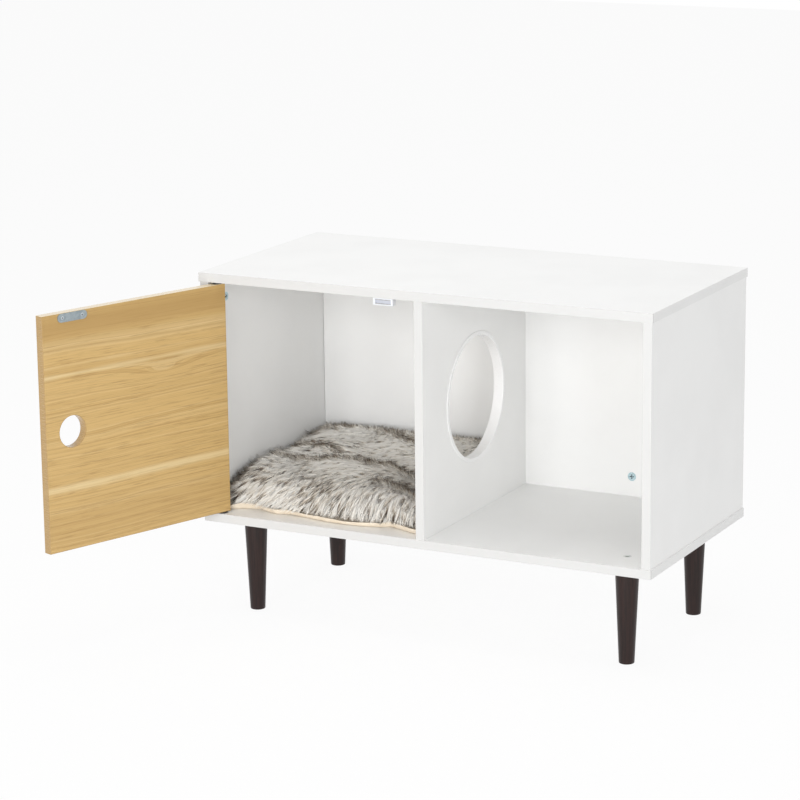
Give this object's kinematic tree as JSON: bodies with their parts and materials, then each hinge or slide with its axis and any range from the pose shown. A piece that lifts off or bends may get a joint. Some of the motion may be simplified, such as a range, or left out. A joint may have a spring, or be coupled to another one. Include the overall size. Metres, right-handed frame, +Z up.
{
  "type": "cat house",
  "caption": "Low cat house: a white cabinet on tapered legs, with a round passage between its rooms, a hinged oak door with a finger hole and a plush cushion.",
  "frame": {"origin": "on the floor, under the middle of the cabinet's width and depth", "axes": "+X to the viewer's right along the width, +Y to the rear, +Z up; the open fronts face -Y"},
  "size_m": [0.8995, 0.7295, 0.58],
  "materials": {
    "white_board": "satin white melamine facing",
    "white_edging": "satin white edge band",
    "white_plastic": "satin white moulded trim",
    "zinc": "bluish zinc plating",
    "bolt_steel": "bright steel",
    "strike_zinc": "blue-grey zinc plating",
    "hinge_steel": "bright steel",
    "dowel_wood": "plain beech",
    "dark_leg": "dark brown satin stain",
    "oak_board": "light oak grain, satin",
    "oak_edging": "light oak edge band",
    "black_plastic": "black nylon",
    "catch_plastic": "white moulded plastic",
    "magnet": "dark ferrite",
    "backing_cloth": "cream woven cloth",
    "fur": "long light grey plush"
  },
  "bodies": {
    "cabinet": {"top_panel": "white_board", "bottom_panel": "white_board", "left_side_panel": "white_board", "right_side_panel": "white_board", "divider_panel": "white_board", "back_panel": "white_board", "top_panel_edging": "white_edging", "bottom_panel_edging": "white_edging", "left_side_edging": "white_edging", "right_side_edging": "white_edging", "divider_edging": "white_edging", "passage_trim": "white_plastic", "left_side_cams": "zinc", "right_side_cams": "zinc", "divider_cams": "zinc", "back_cams": "zinc", "lower_cam_bolts": "bolt_steel", "upper_cam_bolts": "bolt_steel", "lower_dowels": "dowel_wood", "upper_dowels": "dowel_wood", "leg_front_left": "dark_leg", "leg_front_right": "dark_leg", "leg_rear_left": "dark_leg", "leg_rear_right": "dark_leg", "leg_hanger_bolts": "bolt_steel", "leg_inserts": "zinc", "hinge_bushes": "black_plastic", "catch_housing": "catch_plastic", "catch_pole_plates": "hinge_steel", "catch_magnet": "magnet", "catch_screws": "bolt_steel", "cushion_underside": "backing_cloth", "cushion": "fur"},
    "door": {"door_panel": "oak_board", "door_edging": "oak_edging", "door_hole_edging": "oak_edging", "hinge_pins": "hinge_steel", "strike_plate": "strike_zinc", "strike_screws": "strike_zinc"}
  },
  "joints": [
    {"name": "door_hinge", "type": "hinge", "parent": "cabinet", "child": "door", "pos_m": [-0.37, -0.1905, 0.37], "axis": [0, 0, 1], "range_deg": [-9, 110]}
  ]
}
